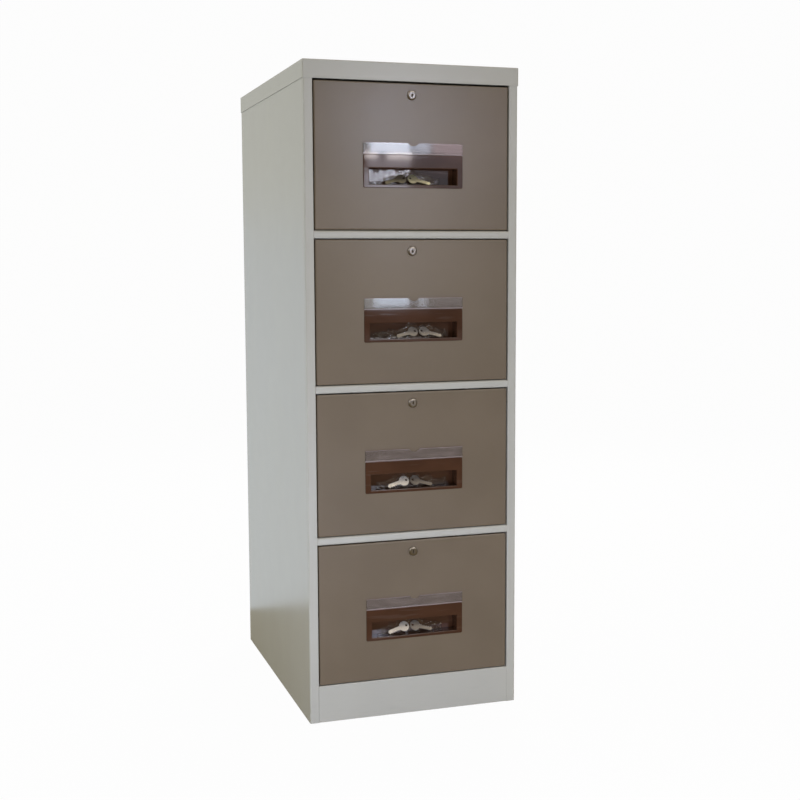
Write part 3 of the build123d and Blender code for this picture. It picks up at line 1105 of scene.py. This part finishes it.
@dataclass(frozen=True)
class StudioFloor:
    """Pale floor and backdrop in one surface.

    Y and Z limits say between which places one mirrored tone gives way to the next.
    """

    half_width: float = 9.0
    front: float = -9.0
    back: float = 7.0
    sweep: float = 2.0
    sweep_points: int = 25
    wall: float = 6.0
    gap: float = 0.4 * MM
    pale: Colour = (0.80, 0.79, 0.77)
    white_share: float = 0.97
    mirrored_near: Colour = (0.185, 0.13, 0.055)
    mirrored_far: Colour = (0.775, 0.825, 0.905)
    mirrored_wall: Colour = (0.765, 0.77, 0.73)
    near_y_limits: Limits = (0.605, 0.565)
    wall_z_limits: Limits = (0.8, 1.8)

    def build(self) -> bpy.types.Object:
        """Makes the surface.

        The profile runs level from front to back, turns up through a quarter circle of radius sweep, and
        rises to wall. It is carried along X. Each quad starts one corner on, which halves it along its
        other diagonal.

        Returns:
            The surface.
        """
        turn = np.linspace(0.0, math.pi / 2, self.sweep_points)
        end = self.back + self.sweep
        run = np.concatenate([[self.front], self.back + self.sweep * np.sin(turn), [end]])
        rise = np.concatenate([[0.0], self.sweep * (1 - np.cos(turn)), [self.wall]]) - self.gap
        across = np.array([-self.half_width, 0.0, self.half_width])
        shape = (len(across), len(run))
        grid = np.stack([np.broadcast_to(across[:, None], shape), np.broadcast_to(run, shape),
                         np.broadcast_to(rise, shape)], axis=-1)
        faces = np.roll(grid_faces(*shape), -1, axis=1)
        return make_piece("studio_floor", grid.reshape(-1, 3), faces, self._material())

    def _material(self) -> bpy.types.Material:
        """Pale, with its shadows, to lamps and near white to the camera, also through clear parts.

        Mirrors see it warm and dim around the cabinet, pale farther back, and warmer again up the backdrop.

        Returns:
            The material.
        """
        net, material = Net.of_material("studio_floor_paint")
        real = net.add("ShaderNodeBsdfDiffuse", {}, {"Color": (*self.pale, 1.0)})
        white = net.add("ShaderNodeEmission", {}, {"Color": (1.0, 1.0, 1.0, 1.0), "Strength": 1.0})
        far = net.blend(net.axis("Z").step(*self.wall_z_limits), self.mirrored_far, self.mirrored_wall)
        tone = net.blend(net.axis("Y").step(*self.near_y_limits), far, self.mirrored_near)
        mirrored = net.add("ShaderNodeEmission", {}, {"Color": tone, "Strength": 1.0})
        path = net.sights()
        seen = path[Sight.CAMERA].high(path[Sight.TRANSMISSION]) * self.white_share
        shown = net.add("ShaderNodeMixShader", {}, {0: seen, 1: real, 2: white})
        net.surface(net.add("ShaderNodeMixShader", {}, {0: path[Sight.GLOSSY], 1: shown, 2: mirrored}))
        return material


@dataclass(frozen=True)
class Room:
    """What lies round the stage: even light for matt surfaces, and a room that glossy surfaces mirror.

    The limits say between which values of a direction's X, Y or Z one tone gives way to the next. Ahead
    is where the camera looks, behind is at its back.
    """

    light: Colour = (0.41, 0.404, 0.392)
    light_above: Colour = (0.06, 0.055, 0.042)
    mirrored_behind: Colour = (0.11, 0.092, 0.055)
    mirrored_ahead: Colour = (0.83, 0.86, 0.90)
    mirrored_ahead_high: Colour = (0.81, 0.77, 0.67)
    ahead_y_limits: Limits = (-0.1, 0.5)
    ahead_high_z_limits: Limits = (-0.02, 0.14)
    mirrored_ceiling: Colour = (0.72, 0.58, 0.44)
    ceiling_z_limits: Limits = (0.35, 0.6)
    mirrored_left: Colour = (1.5, 1.4, 1.25)
    left_xyz_limits: tuple[Limits, Limits, Limits] = ((-0.45, -0.7), (0.1, -0.1), (0.1, 0.35))
    glint: Colour = (2.2, 2.0, 1.7)
    glint_way: Point = (0.36, -0.68, 0.64)
    glint_cosine_limits: Limits = (0.93, 0.97)

    def build(self) -> None:
        """Makes the world.

        The camera sees it white, also through clear parts. Matt surfaces get the even light and a little
        more from above. Mirrors see the dim room behind the camera, a pale one ahead, a warm ceiling, a
        bright place behind the camera on the left, and a glint high behind it on the right.
        """
        world = bpy.data.worlds.new("studio_room")
        bpy.context.scene.world = world
        world.use_nodes = True
        net = Net(world.node_tree)
        path = net.sights()
        way = net.add("ShaderNodeTexCoord", {}, {}, "Generated")
        x, y, z = (net.part(way, name) for name in ("X", "Y", "Z"))
        above = net.blend(z.high(0.0), (0.0, 0.0, 0.0), self.light_above)
        real = net.blend(1.0, self.light, above, "ADD")
        ahead = net.blend(z.step(*self.ahead_high_z_limits), self.mirrored_ahead, self.mirrored_ahead_high)
        mirrored = net.blend(y.step(*self.ahead_y_limits), self.mirrored_behind, ahead)
        mirrored = net.blend(z.step(*self.ceiling_z_limits), mirrored, self.mirrored_ceiling)
        across, behind, high = (part.step(*limits) for part, limits in zip((x, y, z), self.left_xyz_limits))
        mirrored = net.blend(across * behind * high, mirrored, self.mirrored_left)
        towards = net.add("ShaderNodeVectorMath", {"operation": "DOT_PRODUCT"},
                          {0: way, 1: Vector(self.glint_way).normalized()}, "Value")
        mirrored = net.blend(towards.step(*self.glint_cosine_limits), mirrored, self.glint)
        light = net.blend(path[Sight.GLOSSY], real, mirrored)
        light = net.blend(path[Sight.CAMERA].high(path[Sight.TRANSMISSION]), light, (1.0, 1.0, 1.0))
        shader = net.add("ShaderNodeBackground", {}, {"Color": light, "Strength": 1.0})
        net.surface(shader, "ShaderNodeOutputWorld")


class Studio:
    """Floor with its backdrop, room light and lamps."""

    def build(self) -> None:
        """Makes them, and sets how the picture is shown."""
        StudioFloor().build()
        Room().build()
        for lamp in LAMPS:
            lamp.build()
        bpy.context.scene.view_settings.view_transform = "Standard"
        log.info("studio: floor, room light and %d lamps", len(LAMPS))


def main() -> None:
    """Builds the camera, the studio, the finishes and the sub-assemblies in order."""
    logging.basicConfig(level=logging.INFO, format="%(name)s: %(message)s")
    Viewpoint().build()
    Studio().build()
    finishes = Finishes()
    Carcass(finishes).dress()
    for number in DRAWERS:
        Drawer(number, finishes).build()


if __name__ == "__main__":
    main()
